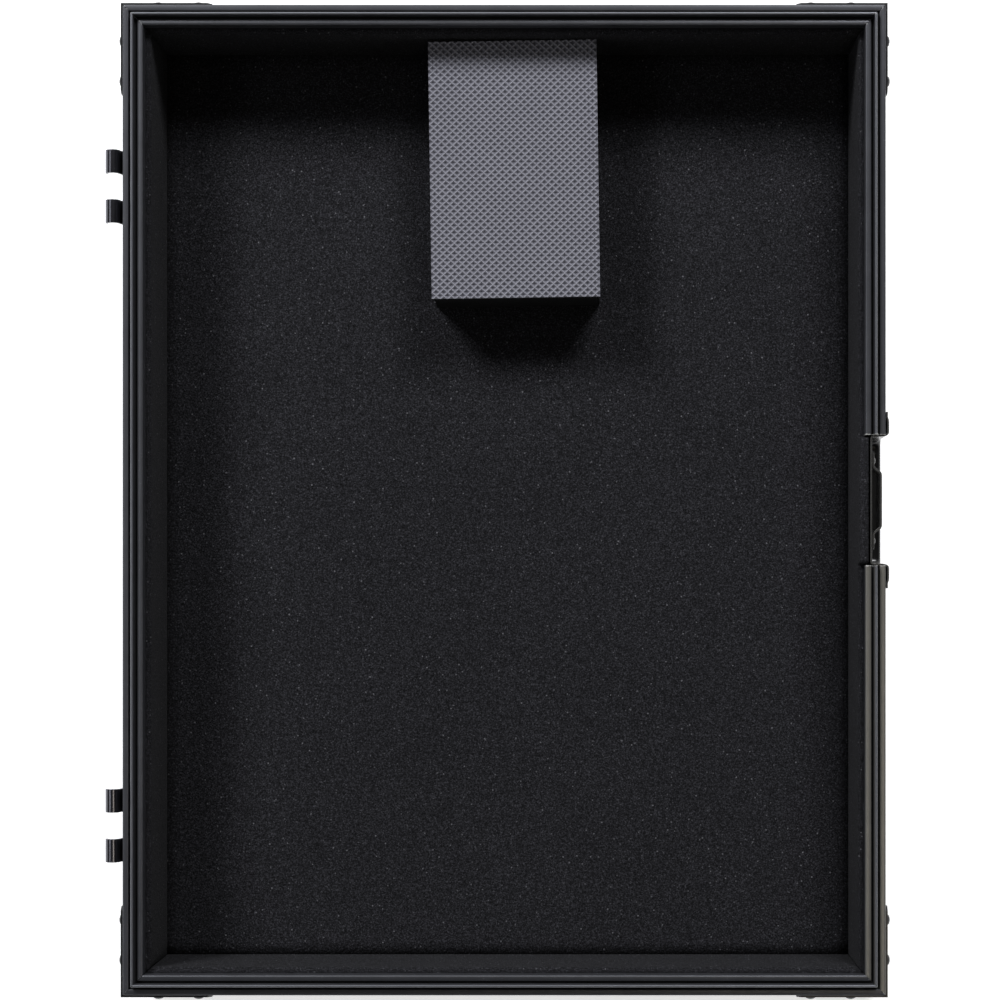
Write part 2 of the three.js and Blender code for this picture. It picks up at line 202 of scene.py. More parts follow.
class NodeSetup:
    """A material whose Principled shader gets its inputs from a few helper calls."""

    def __init__(self, name):
        self.material = bpy.data.materials.new(name)
        self.material.use_nodes = True
        self.tree = self.material.node_tree
        self.shader = self.tree.nodes["Principled BSDF"]
        self.place = self.tree.nodes.new("ShaderNodeTexCoord").outputs["Object"]

    def node(self, kind, inputs=None, **settings):
        """A node with its inputs linked or set, by name or by number."""
        made = self.tree.nodes.new(kind)
        for key, value in settings.items():
            setattr(made, key, value)
        for key, value in (inputs or {}).items():
            if isinstance(value, bpy.types.NodeSocket):
                self.tree.links.new(value, made.inputs[key])
            else:
                made.inputs[key].default_value = value
        return made

    def stretched(self, scale):
        mapping = self.node("ShaderNodeMapping", {"Vector": self.place, "Scale": scale})
        return mapping.outputs["Vector"]

    def noise(self, scale, detail=3.0, roughness=0.55, vector=None):
        made = self.node(
            "ShaderNodeTexNoise",
            {"Vector": vector or self.place, "Scale": scale, "Detail": detail, "Roughness": roughness},
        )
        return made.outputs["Fac"]

    def cells(self, scale, vector=None):
        made = self.node("ShaderNodeTexVoronoi", {"Vector": vector or self.place, "Scale": scale})
        return made.outputs["Distance"]

    def split(self, vector):
        return self.node("ShaderNodeSeparateXYZ", {0: vector}).outputs

    def between(self, value, start, end):
        """0 at start and 1 at end, held outside them."""
        inputs = {"Value": value, "From Min": start, "From Max": end}
        return self.node("ShaderNodeMapRange", inputs).outputs[0]

    def ramp(self, factor, stops):
        """A grey ramp; stops are (position, brightness)."""
        made = self.node("ShaderNodeValToRGB", {"Fac": factor})
        elements = made.color_ramp.elements
        while len(elements) < len(stops):
            elements.new(0.5)
        for element, (position, grey) in zip(elements, stops):
            element.position = position
            element.color = (grey, grey, grey, 1)
        return made.outputs["Color"]

    def math(self, operation, a, b=0.0):
        return self.node("ShaderNodeMath", {0: a, 1: b}, operation=operation).outputs[0]

    def mix(self, factor, a, b, blend="MIX"):
        """Colour a at factor 0 and colour b at factor 1, or the two blended in another way."""
        made = self.node("ShaderNodeMix", data_type="RGBA", blend_type=blend)
        for key, value in ((0, factor), (6, a), (7, b)):
            if isinstance(value, bpy.types.NodeSocket):
                self.tree.links.new(value, made.inputs[key])
            elif isinstance(value, (int, float)):
                made.inputs[key].default_value = value
            else:
                made.inputs[key].default_value = (*value, 1)
        return made.outputs[2]

    def bump(self, height, distance, strength):
        inputs = {"Height": height, "Distance": distance, "Strength": strength}
        return self.node("ShaderNodeBump", inputs).outputs["Normal"]

    def use(self, **inputs):
        """Sets the shader's inputs; an underscore in a name stands for a space."""
        for key, value in inputs.items():
            socket = self.shader.inputs[key.replace("_", " ")]
            if isinstance(value, bpy.types.NodeSocket):
                self.tree.links.new(value, socket)
            elif isinstance(value, tuple) and len(value) == 3 and len(socket.default_value) == 4:
                socket.default_value = (*value, 1)
            else:
                socket.default_value = value
        return self.material


def mitre_chips(setup, chips):
    """1 where the black is chipped off along the mitres, on top of the rails."""
    x, y, z = setup.split(setup.place)
    off_middle_x = setup.math("ABSOLUTE", setup.math("SUBTRACT", x, middle_x))
    off_middle_y = setup.math("ABSOLUTE", setup.math("SUBTRACT", y, middle_y))
    from_side = setup.math("SUBTRACT", half_width, off_middle_x)
    from_end = setup.math("SUBTRACT", half_length, off_middle_y)
    off_mitre = setup.math("ABSOLUTE", setup.math("SUBTRACT", from_side, from_end))
    ragged = setup.math("ADD", off_mitre, setup.math("MULTIPLY", chips, 2.4 * MM))
    near_mitre = setup.between(ragged, 1.6 * MM, 1.2 * MM)
    on_top = setup.between(z, rim_z - 0.3 * MM, rim_z - 0.1 * MM)
    return setup.math("MULTIPLY", near_mitre, on_top)


def sawn_chips(setup, chips, sawn_at):
    """1 where the black is chipped off at a rail's sawn ends, which are sawn_at from the middle along Y."""
    y = setup.split(setup.place)[1]
    past = setup.math("SUBTRACT", setup.math("ABSOLUTE", y), sawn_at)
    ragged = setup.math("ADD", past, setup.math("MULTIPLY", chips, 2.6 * MM))
    return setup.between(ragged, 1.9 * MM, 1.5 * MM)


def anodised_material(name, grain, sawn_at=None, painted_reflection=False):
    """Satin black anodised aluminium; grain stretches the die lines along the extrusion.

    A rail's grooves are painted near black as shade, and its tongue is painted lighter as a highlight. The
    black is chipped off along the mitres and at sawn ends, which are sawn_at from the middle. A rail with a
    painted reflection is painted pale and warm on top.
    """
    setup = NodeSetup(name)
    lines = setup.noise(1.0, detail=4, roughness=0.6, vector=setup.stretched(grain))
    cloud = setup.noise(55, detail=3)
    chips = setup.noise(900, detail=2)
    scuffs = setup.ramp(chips, [(0.66, 0.0), (0.76, 1.0)])
    z = setup.split(setup.place)[2]
    up = setup.split(setup.node("ShaderNodeNewGeometry").outputs["Normal"])[2]

    colour = setup.mix(cloud, (0.044, 0.045, 0.051), (0.070, 0.072, 0.081))
    # Painted reflection: a warm reflection is painted pale on the rail's top
    if painted_reflection:
        pale = setup.mix(cloud, (0.125, 0.121, 0.111), (0.170, 0.165, 0.152))
        colour = setup.mix(setup.between(z, rim_z - 2.2 * MM, rim_z - 0.8 * MM), colour, pale)
    colour = setup.mix(setup.math("MULTIPLY", scuffs, 0.35), colour, (0.20, 0.20, 0.21))

    # Painted highlight: the tongue's top is painted lighter
    tongue_highlight = setup.between(z, rim_z + 3.4 * MM, rim_z + 4.4 * MM)
    colour = setup.mix(tongue_highlight, colour, (0.112, 0.116, 0.130))

    # Painted shade: the grooves below the rim are painted near black, and made rougher
    below_rim = setup.between(z, rim_z - 0.9 * MM, rim_z - 1.6 * MM)
    shaded_groove = setup.math("MULTIPLY", below_rim, setup.between(up, 0.3, 0.7))
    colour = setup.mix(shaded_groove, colour, (0.006, 0.006, 0.007))

    colour = setup.mix(mitre_chips(setup, chips), colour, (0.50, 0.50, 0.51))
    if sawn_at is not None:
        colour = setup.mix(sawn_chips(setup, chips, sawn_at), colour, (0.50, 0.50, 0.49))

    roughness = setup.math("ADD", setup.math("MULTIPLY", lines, 0.16), 0.28)
    roughness = setup.math("ADD", roughness, setup.math("MULTIPLY", shaded_groove, 0.5))
    normal = setup.bump(lines, 0.06 * MM, 0.35)
    return setup.use(Base_Color=colour, Metallic=0.55, Roughness=roughness, Normal=normal)


def steel_material(name, tints, roughness, metallic=0.2, wear_and_glint_above=None, wear_and_glint=(0.040, 0.040, 0.039)):
    """Black plated pressed steel between two tints, lighter above a given height: rubbed bare on the hooks'
    rolls, and a painted glint along the latch's top edges.
    """
    setup = NodeSetup(name)
    cloud = setup.noise(120, detail=4)
    grain = setup.noise(1400, detail=2)
    base = setup.mix(cloud, *tints)
    # Lighter above the height: real polish on the hooks' rolls, and a painted glint on the latch's and
    # keeper's top edges
    if wear_and_glint_above is not None:
        height = setup.math("ADD", setup.split(setup.place)[2], setup.math("MULTIPLY", grain, 0.5 * MM))
        base = setup.mix(setup.between(height, wear_and_glint_above, wear_and_glint_above + 0.3 * MM), base, wear_and_glint)
    rough = setup.math("ADD", setup.math("MULTIPLY", cloud, 0.18), roughness)
    normal = setup.bump(grain, 0.04 * MM, 0.4)
    return setup.use(Base_Color=base, Metallic=metallic, Roughness=rough, Normal=normal)


def laminate_material():
    """Fine pebbled black laminate on the plywood panels."""
    setup = NodeSetup("laminate")
    pebbles = setup.cells(620)
    cloud = setup.noise(18, detail=3)
    base = setup.mix(cloud, (0.010, 0.010, 0.011), (0.018, 0.018, 0.020))
    rough = setup.math("ADD", setup.math("MULTIPLY", cloud, 0.2), 0.38)
    normal = setup.bump(pebbles, 0.3 * MM, 0.5)
    return setup.use(Base_Color=base, Roughness=rough, Normal=normal)


def felt_material(name, grain):
    """Needle-punched black felt: matted fine fibres, with a pale one here and there; grain stretches them."""
    setup = NodeSetup(name)
    grown = setup.stretched(grain)
    mat = setup.noise(950, detail=2, roughness=0.7, vector=grown)
    tuft = setup.noise(380, detail=4, roughness=0.65, vector=grown)
    drift = setup.noise(14, detail=2)
    dark = setup.mix(drift, (0.0105, 0.0105, 0.0122), (0.0145, 0.0145, 0.0168))
    shade = setup.ramp(mat, [(0.30, 0.12), (0.48, 0.75), (0.60, 1.6), (0.74, 4.0)])
    fibres = setup.mix(1, dark, shade, "MULTIPLY")
    speck = setup.ramp(setup.cells(300, vector=grown), [(0.0, 1.0), (0.10, 1.0), (0.22, 0.0)])
    rare = setup.ramp(setup.noise(330, detail=1, vector=grown), [(0.52, 0.0), (0.66, 1.0)])
    pale = setup.math("MULTIPLY", speck, rare)
    colour = setup.mix(pale, fibres, (0.11, 0.11, 0.12))
    height = setup.math("ADD", setup.math("MULTIPLY", mat, 0.4), tuft)
    normal = setup.bump(height, 0.9 * MM, 0.8)
    return setup.use(
        Base_Color=colour,
        Roughness=1.0,
        Specular_IOR_Level=0.1,
        Normal=normal,
        Sheen_Weight=0.012,
        Sheen_Roughness=0.6,
    )


def foam_material():
    """Firm closed-cell foam with fine pores."""
    setup = NodeSetup("foam")
    pores = setup.cells(1100)
    cloud = setup.noise(70, detail=3)
    base = setup.mix(cloud, (0.008, 0.008, 0.009), (0.013, 0.013, 0.014))
    normal = setup.bump(pores, 0.3 * MM, 0.6)
    return setup.use(Base_Color=base, Roughness=0.9, Specular_IOR_Level=0.2, Normal=normal)


def embossed_material():
    """Dark grey rubbery sheet. Its diamonds are in the mesh, and their pits are painted darker as shade."""
    setup = NodeSetup("embossed")
    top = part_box("block_face")[1].z
    raised = setup.between(setup.split(setup.place)[2], top - DIAMOND_DEPTH, top)
    cloud = setup.noise(45, detail=4)
    grain = setup.noise(1800, detail=3, roughness=0.7)
    ridge = setup.mix(cloud, (0.160, 0.160, 0.187), (0.205, 0.205, 0.238))
    # Painted shade: darker towards the floor of each pit, lighter on the ridges
    base = setup.mix(setup.math("POWER", raised, 1.4), (0.062, 0.062, 0.077), ridge)
    shade = setup.ramp(grain, [(0.25, 0.72), (0.75, 1.25)])
    colour = setup.mix(1, base, shade, "MULTIPLY")
    normal = setup.bump(grain, 0.2 * MM, 0.5)
    return setup.use(Base_Color=colour, Roughness=0.48, Specular_IOR_Level=0.5, Normal=normal)


def floor_material():
    """Pale and matt, with a glow of its own that keeps the ground evenly bright."""
    setup = NodeSetup("studio_floor")
    cloud = setup.noise(2, detail=2)
    base = setup.mix(cloud, (0.80, 0.80, 0.80), (0.82, 0.82, 0.82))
    return setup.use(
        Base_Color=base, Roughness=0.9, Emission_Color=(1.0, 1.0, 1.0), Emission_Strength=0.62
    )


# ---------------------------------------------------------------------------------------------------------
# Materials

RAIL_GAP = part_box("rim_rail_latch_side_by_block")[0].y  # where the rails stop beside the latch dish
DISH_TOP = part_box("latch_dish")[1].z
KEEPER_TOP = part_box("latch_keeper")[1].z
ACROSS = 2600  # die lines to a metre across an extrusion
ALONG = 9  # and along it, where they hardly change
ALONG_Y = (ACROSS, ALONG, ACROSS)
STEEL_TINTS = ((0.007, 0.007, 0.008), (0.013, 0.013, 0.015))
LATCH_TINTS = ((0.004, 0.004, 0.004), (0.008, 0.008, 0.008))
POLISHED = (0.105, 0.105, 0.12)  # the rolls of the hooks, rubbed by the hinge's other half
ROLL_DROP = 9 * MM  # where the polish starts, below the rim

materials = {
    "along_y": anodised_material("anodised_along_y", ALONG_Y),
    "along_x": anodised_material("anodised_along_x", (ALONG, ACROSS, ACROSS)),
    "along_z": anodised_material("anodised_along_z", (ACROSS, ACROSS, ALONG)),
    "sawn": anodised_material("anodised_sawn_end", ALONG_Y, RAIL_GAP),
    # the latch side's plain rail, with a warm reflection painted on its top
    "painted_reflection": anodised_material("anodised_painted_reflection", ALONG_Y, RAIL_GAP, painted_reflection=True),
    "steel": steel_material("black_steel", STEEL_TINTS, 0.2),
    "hook": steel_material("hinge_steel", STEEL_TINTS, 0.1, 0.97, rim_z - ROLL_DROP, POLISHED),
    # the top edges of the dish and keeper carry a painted glint
    "latch": steel_material("latch_steel", LATCH_TINTS, 0.16, wear_and_glint_above=DISH_TOP),
    "keeper": steel_material("keeper_steel", LATCH_TINTS, 0.16, wear_and_glint_above=KEEPER_TOP),
    "laminate": laminate_material(),
    "felt": felt_material("felt", (1, 1, 1)),
    "wall_felt": felt_material("wall_felt", (1.25, 1.25, 0.6)),
    "foam": foam_material(),
    "embossed": embossed_material(),
}

# ---------------------------------------------------------------------------------------------------------
# CAD nodes that stay: angles, panels and braces

CAD_LOOKS = (
    # start of the names, material, width and segments of the rounded edges
    ("edge_angle_hinge_side", "along_y", 0.3 * MM, 2),
    ("edge_angle_latch_side", "along_y", 0.3 * MM, 2),
    ("edge_angle_block_end", "along_x", 0.3 * MM, 2),
    ("edge_angle_plain_end", "along_x", 0.3 * MM, 2),
    ("corner_angle", "along_z", 0.3 * MM, 2),
    ("wall_panel", "laminate", 0.4 * MM, 2),
    ("outer_panel", "laminate", 0.4 * MM, 2),
    ("corner_brace", "steel", 0.5 * MM, 3),
)


def finish_cad_nodes():
    """Paints the CAD nodes that stay and rounds their edges a little."""
    for name, node in nodes.items():
        for start, material, width, segments in CAD_LOOKS:
            if name.startswith(start):
                paint(node, materials[material])
                add_weld(node)
                add_bevel(node, width, segments)


finish_cad_nodes()

# ---------------------------------------------------------------------------------------------------------
# Rim rails

RAIL_WIDTH = 14 * MM
RAIL_SKIRT = 24 * MM  # height of the outer leg
RAIL_LIP = 10 * MM  # height of the inner leg
RAIL_LEG = 1.6 * MM  # thickness of the outer leg
RAIL_LIP_LEG = 2.3 * MM  # thickness of the inner leg
RAIL_WEB = 4.6 * MM  # thickness between the legs
GROOVE_DEPTH = 2.4 * MM
GROOVE_ROUND = 0.5 * MM
GROOVE_OUTER = (4.1 * MM, 6 * MM)
GROOVE_INNER = (8 * MM, 9.9 * MM)
TONGUE_CROWN = 1.7  # height of the tongue's rounded top, in half widths
MITRE_PLAY = 0.25 * MM

# The flats fall a little towards their grooves: points on them, and how far they have fallen at the groove
INNER_FLAT = ((11.2 * MM, -0.1 * MM), (10.6 * MM, -0.25 * MM))
INNER_FALL = 0.4 * MM
OUTER_FLAT = (3 * MM, -0.03 * MM)
OUTER_FALL = 0.15 * MM


def groove_bottom(near, far):
    """A groove's rounded bottom, from its far side back to its near one."""
    level = GROOVE_ROUND - GROOVE_DEPTH
    points = arc((far - GROOVE_ROUND, level), GROOVE_ROUND, 0, -90, 4)
    return points + arc((near + GROOVE_ROUND, level), GROOVE_ROUND, -90, -180, 4)


def rail_section():
    """The extrusion's section as depth and height above the rim, with rounded flats, grooves and tongue."""
    outer_round, inner_round, lip_round = 1.1 * MM, 1.5 * MM, 0.35 * MM
    tongue = (GROOVE_OUTER[1] + GROOVE_INNER[0]) / 2
    tongue_round = (GROOVE_INNER[0] - GROOVE_OUTER[1]) / 2
    section = [(RAIL_LEG, -RAIL_SKIRT), (RAIL_LEG, -RAIL_WEB), (RAIL_WIDTH - RAIL_LIP_LEG, -RAIL_WEB)]
    section += [(RAIL_WIDTH - RAIL_LIP_LEG, -RAIL_LIP), (RAIL_WIDTH, -RAIL_LIP)]
    section += arc((RAIL_WIDTH - inner_round, -inner_round), inner_round, 0, 90, 8)
    section += INNER_FLAT
    section += arc((GROOVE_INNER[1] + lip_round, -INNER_FALL - lip_round), lip_round, 90, 180, 3)
    section += groove_bottom(*GROOVE_INNER)
    for x, z in arc((tongue, 0), tongue_round, 0, 180, 12):
        section.append((x, TONGUE_RISE + (z - tongue_round) * TONGUE_CROWN))
    section += groove_bottom(*GROOVE_OUTER)
    section += arc((GROOVE_OUTER[0] - lip_round, -OUTER_FALL - lip_round), lip_round, 0, 90, 3)
    section.append(OUTER_FLAT)
    section += arc((outer_round, -outer_round), outer_round, 90, 180, 6)
    section.append((0, -RAIL_SKIRT))
    return section


def add_rail(node, side, start, end, material):
    """A rail between two places along the side, mitred where it ends at a corner and else sawn square."""
    place, length = SIDES[side]
    section = rail_section()
    verts = []
    for station in (start, end):
        mitred = abs(station) > length / 2 - 1 * MM
        for depth, height in section:
            pull = math.copysign(depth + MITRE_PLAY, station) if mitred else 0
            verts.append((depth, station - pull, rim_z + height))
    faces = grid_faces(2, len(section), closed=True) + end_caps(len(verts), len(section))
    rail = make_piece(node + "_extruded", verts, faces, place)
    rail.data.set_sharp_from_angle(angle=math.radians(40))
    finish_piece(rail, materials[material], "anodised_aluminium", node)


def add_rails():
    """Three whole rails, and two on the latch side with the latch dish between them."""
    for side, (_, length) in SIDES.items():
        if side != "latch_side":
            material = "along_y" if side == "hinge_side" else "along_x"
            add_rail("rim_rail_" + side, side, -length / 2, length / 2, material)
    half = SIDES["latch_side"][1] / 2
    gap = RAIL_GAP - middle_y
    add_rail("rim_rail_latch_side_by_block", "latch_side", -half, -gap, "sawn")
    add_rail("rim_rail_latch_side_plain", "latch_side", gap, half, "painted_reflection")


add_rails()

# ---------------------------------------------------------------------------------------------------------
# Rivets

RIVET_TURNS = 28
COLLAR_HEIGHT = 0.26  # of the head's height
DIMPLE_RADIUS = 0.3  # of the head's radius
METAL_SLOTS = {"steel": "black_steel", "latch": "pressed_latch_steel"}


def rivet_profile():
    """A head from its foot to the middle of its dimple, as shares of its radius and its height."""
    profile = [(1, 0), (1, 0.16), (0.94, COLLAR_HEIGHT)]
    for i in range(1, 8):
        angle = math.radians(90 * i / 8)
        profile.append((0.9 * math.cos(angle), COLLAR_HEIGHT + (1 - COLLAR_HEIGHT) * math.sin(angle)))
    return profile + [(DIMPLE_RADIUS, 0.98), (0.6 * DIMPLE_RADIUS, 0.82), (0, 0.8)]


def rivet_mesh(radius, height):
    """A domed head with a thin collar and a small dimple, standing along +Z."""
    *rings, (_, dimple_height) = rivet_profile()
    verts = []
    for ring_radius, ring_height in rings:
        verts += ring_points(ring_radius * radius, ring_height * height, RIVET_TURNS)
    faces = grid_faces(len(rings), RIVET_TURNS, closed=True)
    tip = len(verts)
    last = tip - RIVET_TURNS
    faces += [(last + j, last + (j + 1) % RIVET_TURNS, tip) for j in range(RIVET_TURNS)]
    faces.append(tuple(range(RIVET_TURNS)))
    verts.append((0, 0, dimple_height * height))
    return verts, faces


def add_rivet(name, at, outwards, radius, height, metal, *replaced):
    turn = Vector((0, 0, 1)).rotation_difference(Vector(outwards)).to_matrix().to_4x4()
    verts, faces = rivet_mesh(radius, height)
    piece = make_piece(name, verts, faces, Matrix.Translation(at) @ turn)
    finish_piece(piece, materials[metal], METAL_SLOTS[metal], *replaced)


def replace_cad_rivets():
    """Every rivet node becomes a smooth head at the same place and of the same size."""
    for name in sorted(nodes):
        if "rivet" not in name:
            continue
        low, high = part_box(name)
        size = high - low
        axis = min(range(3), key=lambda k: size[k])
        centre = (low + high) / 2
        outwards = Vector((0, 0, 0))
        outwards[axis] = 1 if (centre - Vector((middle_x, middle_y, 0)))[axis] > 0 else -1
        base = centre.copy()
        base[axis] = low[axis] if outwards[axis] > 0 else high[axis]
        metal = "latch" if name.startswith("keeper") else "steel"
        add_rivet(name + "_head", base, outwards, max(size) / 2, size[axis], metal, name)


replace_cad_rivets()

# ---------------------------------------------------------------------------------------------------------
# Felt lining

PAD_ROUND = 2.6 * MM
PAD_STEP = 9 * MM
WALL_WOBBLE = 0.5 * MM
FLOOR_WOBBLE = 0.25 * MM
WOBBLE_SCALE = 35  # of the noise, to a metre
CALM_HEIGHT = 12 * MM  # over which a wall pad's wobble grows from nothing at the floor
TAB_REACH = 43.7 * MM  # from the tab's middle to its end
TAB_SLOPE = 1.2 * MM  # length of the rise at the tab's end
TAB_STATIONS = (-2.4, -1.2, -0.8, -0.4, 0, 0.5)  # extra stations round the tab's end, in mm beyond it


def pad_wobble(point, amount):
    """A small smooth offset that keeps the lining from looking machined."""
    return abs(amount * noise.noise(Vector(point) * WOBBLE_SCALE))


def wall_pad_section(inner, face, bottom, top):
    """The pad's section as depth and height: up its back, over the rounded top edge and down its face."""
    points = [(inner, z) for z in spaced(bottom, top, 4)]
    points += arc((face - PAD_ROUND, top - PAD_ROUND), PAD_ROUND, 90, 0, 6)
    points += [(face, z) for z in spaced(top - PAD_ROUND, bottom, 9)[1:]]
    return points


def tab_top(along, low_top, high_top):
    """Top of the latch-side pad, which rises where the rail is interrupted by the latch dish."""
    share = clamped((TAB_REACH - abs(along)) / TAB_SLOPE)
    return low_top + (high_top - low_top) * share * share * (3 - 2 * share)


def pad_stations(length, has_tab):
    """Places along a wall pad from -1 to 1, closer together at the ends of a tab."""
    stations = spaced(-1, 1, round(length / PAD_STEP))
    if has_tab:
        extra = [TAB_REACH + beyond * MM for beyond in TAB_STATIONS]
        stations = sorted(stations + [end * 2 * y / length for y in extra for end in (-1, 1)])
    return stations


def add_wall_pad(side):
    place, length = SIDES[side]
    node = "lining_" + side
    low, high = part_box(node)
    corners = [place.inverted() @ Vector((x, y, 0)) for x in (low.x, high.x) for y in (low.y, high.y)]
    inner = min(c.x for c in corners)
    face = max(c.x for c in corners)
    plain_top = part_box("lining_hinge_side")[1].z
    has_tab = high.z > plain_top + 1 * MM
    stations = pad_stations(length, has_tab)
    verts = []
    for station in stations:
        nominal = station * length / 2
        top = tab_top(nominal, plain_top, high.z) if has_tab else plain_top
        for depth, z in wall_pad_section(inner, face, low.z, top):
            limit = length / 2 - MITRE_PLAY - depth
            along = max(-limit, min(limit, nominal)) if has_tab else station * limit
            free = (depth - inner) / (face - inner) * clamped((z - floor_z) / CALM_HEIGHT)
            verts.append((depth - pad_wobble((along, depth, z), WALL_WOBBLE) * free, along, z))
    ring = len(verts) // len(stations)
    faces = grid_faces(len(stations), ring, closed=True) + end_caps(len(verts), ring)
    pad = make_piece(node + "_pad", verts, faces, place)
    finish_piece(pad, materials["wall_felt"], "felt_lining", node)


def add_floor_pad():
    """The pad on the big panel, cut to meet the wall pads, with a very slightly uneven face."""
    low, high = (corner.copy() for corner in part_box("lining_floor"))
    touch = Vector((TOUCH_GAP, TOUCH_GAP, 0))
    low -= touch
    high += touch
    columns = spaced(low.x, high.x, round((high.x - low.x) / PAD_STEP))
    rows = spaced(low.y, high.y, round((high.y - low.y) / PAD_STEP))
    verts = [(x, y, high.z - pad_wobble((x, y, 0), FLOOR_WOBBLE)) for y in rows for x in columns]
    pad = make_piece("lining_floor_pad", verts, grid_faces(len(rows), len(columns)))
    work = bmesh.new()
    work.from_mesh(pad.data)
    close_below(work, low.z)
    work.to_mesh(pad.data)
    work.free()
    finish_piece(pad, materials["felt"], "felt_lining", "lining_floor")


for side_name in SIDES:
    add_wall_pad(side_name)
add_floor_pad()

# ---------------------------------------------------------------------------------------------------------
# Rest block

BLOCK_TURN = math.radians(0.85)
CORE_ROUND = 1.5 * MM
CORE_PULL = 0.5 * MM  # how far the foam's sides pull in half way up


def block_frame():
    """The block's place with its turn, and its half sizes before it was turned."""
    low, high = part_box("block_face")
    wide, long = high.x - low.x, high.y - low.y
    c, s = math.cos(BLOCK_TURN), math.sin(BLOCK_TURN)
    width = (wide * c - long * s) / (c * c - s * s)
    length = (long * c - wide * s) / (c * c - s * s)
    centre = Vector(((low.x + high.x) / 2, (low.y + high.y) / 2, 0))
    return Matrix.Translation(centre) @ Matrix.Rotation(BLOCK_TURN, 4, "Z"), width / 2, length / 2


def diamond_lattice(half_x, half_y, top):
    """Staggered diamond pits between crossing ridges, on an area a little larger than the sheet."""
    work = bmesh.new()
    shared = {}

    def corner(i, j):
        if (i, j) not in shared:
            shared[i, j] = work.verts.new((i * DIAMOND_X / 2, j * DIAMOND_Y / 2, top))
        return shared[i, j]

    reach_i = math.ceil(2 * half_x / DIAMOND_X) + 2
    reach_j = math.ceil(2 * half_y / DIAMOND_Y) + 2
    for i in range(-reach_i, reach_i + 1):
        for j in range(-reach_j, reach_j + 1):
            if (i + j) % 2:
                continue
            outer = [corner(i + 1, j), corner(i, j + 1), corner(i - 1, j), corner(i, j - 1)]
            centre = Vector((i * DIAMOND_X / 2, j * DIAMOND_Y / 2, top))
            inner = [work.verts.new(centre.lerp(v.co, 1 - DIAMOND_RIDGE)) for v in outer]
            floor_at = centre - Vector((0, 0, DIAMOND_DEPTH))
            pit = [work.verts.new(floor_at + (v.co - centre) * DIAMOND_FLOOR) for v in outer]
            for k in range(4):
                n = (k + 1) % 4
                work.faces.new((outer[k], outer[n], inner[n], inner[k]))
                work.faces.new((inner[k], inner[n], pit[n], pit[k]))
            work.faces.new(pit)
    return work


def cut_to_size(work, half_x, half_y):
    """Cuts everything off outside the sheet's four edges."""
    for edge in ((half_x, 0, 0), (-half_x, 0, 0), (0, half_y, 0), (0, -half_y, 0)):
        bmesh.ops.bisect_plane(
            work,
            geom=work.verts[:] + work.edges[:] + work.faces[:],
            plane_co=edge,
            plane_no=Vector(edge).normalized(),
            clear_outer=True,
        )


def add_block_face():
    place, half_x, half_y = block_frame()
    low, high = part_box("block_face")
    work = diamond_lattice(half_x, half_y, high.z)
    cut_to_size(work, half_x, half_y)
    close_below(work, low.z)
    mesh = bpy.data.meshes.new("block_face_sheet")
    work.to_mesh(mesh)
    work.free()
    mesh.transform(place)
    piece = link_object("block_face_sheet", mesh)
    finish_piece(piece, materials["embossed"], "embossed_sheet", "block_face")


def add_block_core():
    """Foam cut square, with slightly rounded upright edges and sides that pull in a hair between them."""
    place, half_x, half_y = block_frame()
    low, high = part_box("block_core")
    outline = []
    for sx, sy, start in ((1, 1, 0), (-1, 1, 90), (-1, -1, 180), (1, -1, 270)):
        centre = (sx * (half_x - CORE_ROUND), sy * (half_y - CORE_ROUND))
        outline += arc(centre, CORE_ROUND, start, start + 90, 4)
    levels = spaced(low.z, high.z, 9)
    verts = []
    for i, z in enumerate(levels):
        pull = CORE_PULL * math.sin(math.pi * i / (len(levels) - 1))
        for x, y in outline:
            verts.append((x - math.copysign(pull, x), y - math.copysign(pull, y), z))
    faces = grid_faces(len(levels), len(outline), closed=True) + end_caps(len(verts), len(outline))
    core = make_piece("block_core_foam", verts, faces, place, smooth=False)
    finish_piece(core, materials["foam"], "block_foam", "block_core")


add_block_face()
add_block_core()

# ---------------------------------------------------------------------------------------------------------
# Hinge leaves

HOOK_SHEET = 1.7 * MM
HOOK_RADIUS = 5 * MM
HOOK_STAND = 2 * MM  # how far the roll stands out from the plate
HOOK_BEND_DROP = 12 * MM  # from the rim down to the bend under the roll
HOOK_WIDTH = 16 * MM
HOOK_PITCH = 34 * MM
HOOK_TIP = 3 * MM
TIP_CORNER = 0.8 * MM
LEAF_TOP_DROP = 22 * MM  # from the rim down to the plate's top, where the two arms start
LEAF_CORNER = 2 * MM
PLATE_ROWS = 4  # points of the leaf's path that are on the plate
ARM_COLUMNS = (1, 3)  # the columns of quads that go on above it


def leaf_path(bottom):
    """The sheet's middle line as depth and height: up the wall, out, over the roll and down to the tip."""
    middle = HOOK_RADIUS - HOOK_SHEET / 2
    plate = -TOUCH_GAP - HOOK_SHEET / 2
    x, z = -TOUCH_GAP - HOOK_STAND - HOOK_RADIUS, rim_z - HOOK_RADIUS
    bend = rim_z - HOOK_BEND_DROP
    plate_top = rim_z - LEAF_TOP_DROP
    path = [(plate, h) for h in (bottom, bottom + LEAF_CORNER, bottom + 12 * MM, plate_top, bend - 1.5 * MM)]
    path += [(plate - 0.15 * HOOK_STAND, bend), (plate - 0.5 * HOOK_STAND, (bend + z) / 2)]
    path.append((plate - 0.85 * HOOK_STAND, z - 1.5 * MM))
    path += arc((x, z), middle, 6, 180, 26)
    path.append((x - middle, z - HOOK_TIP / 2))
    path.append((x - middle, z - HOOK_TIP))
    return path


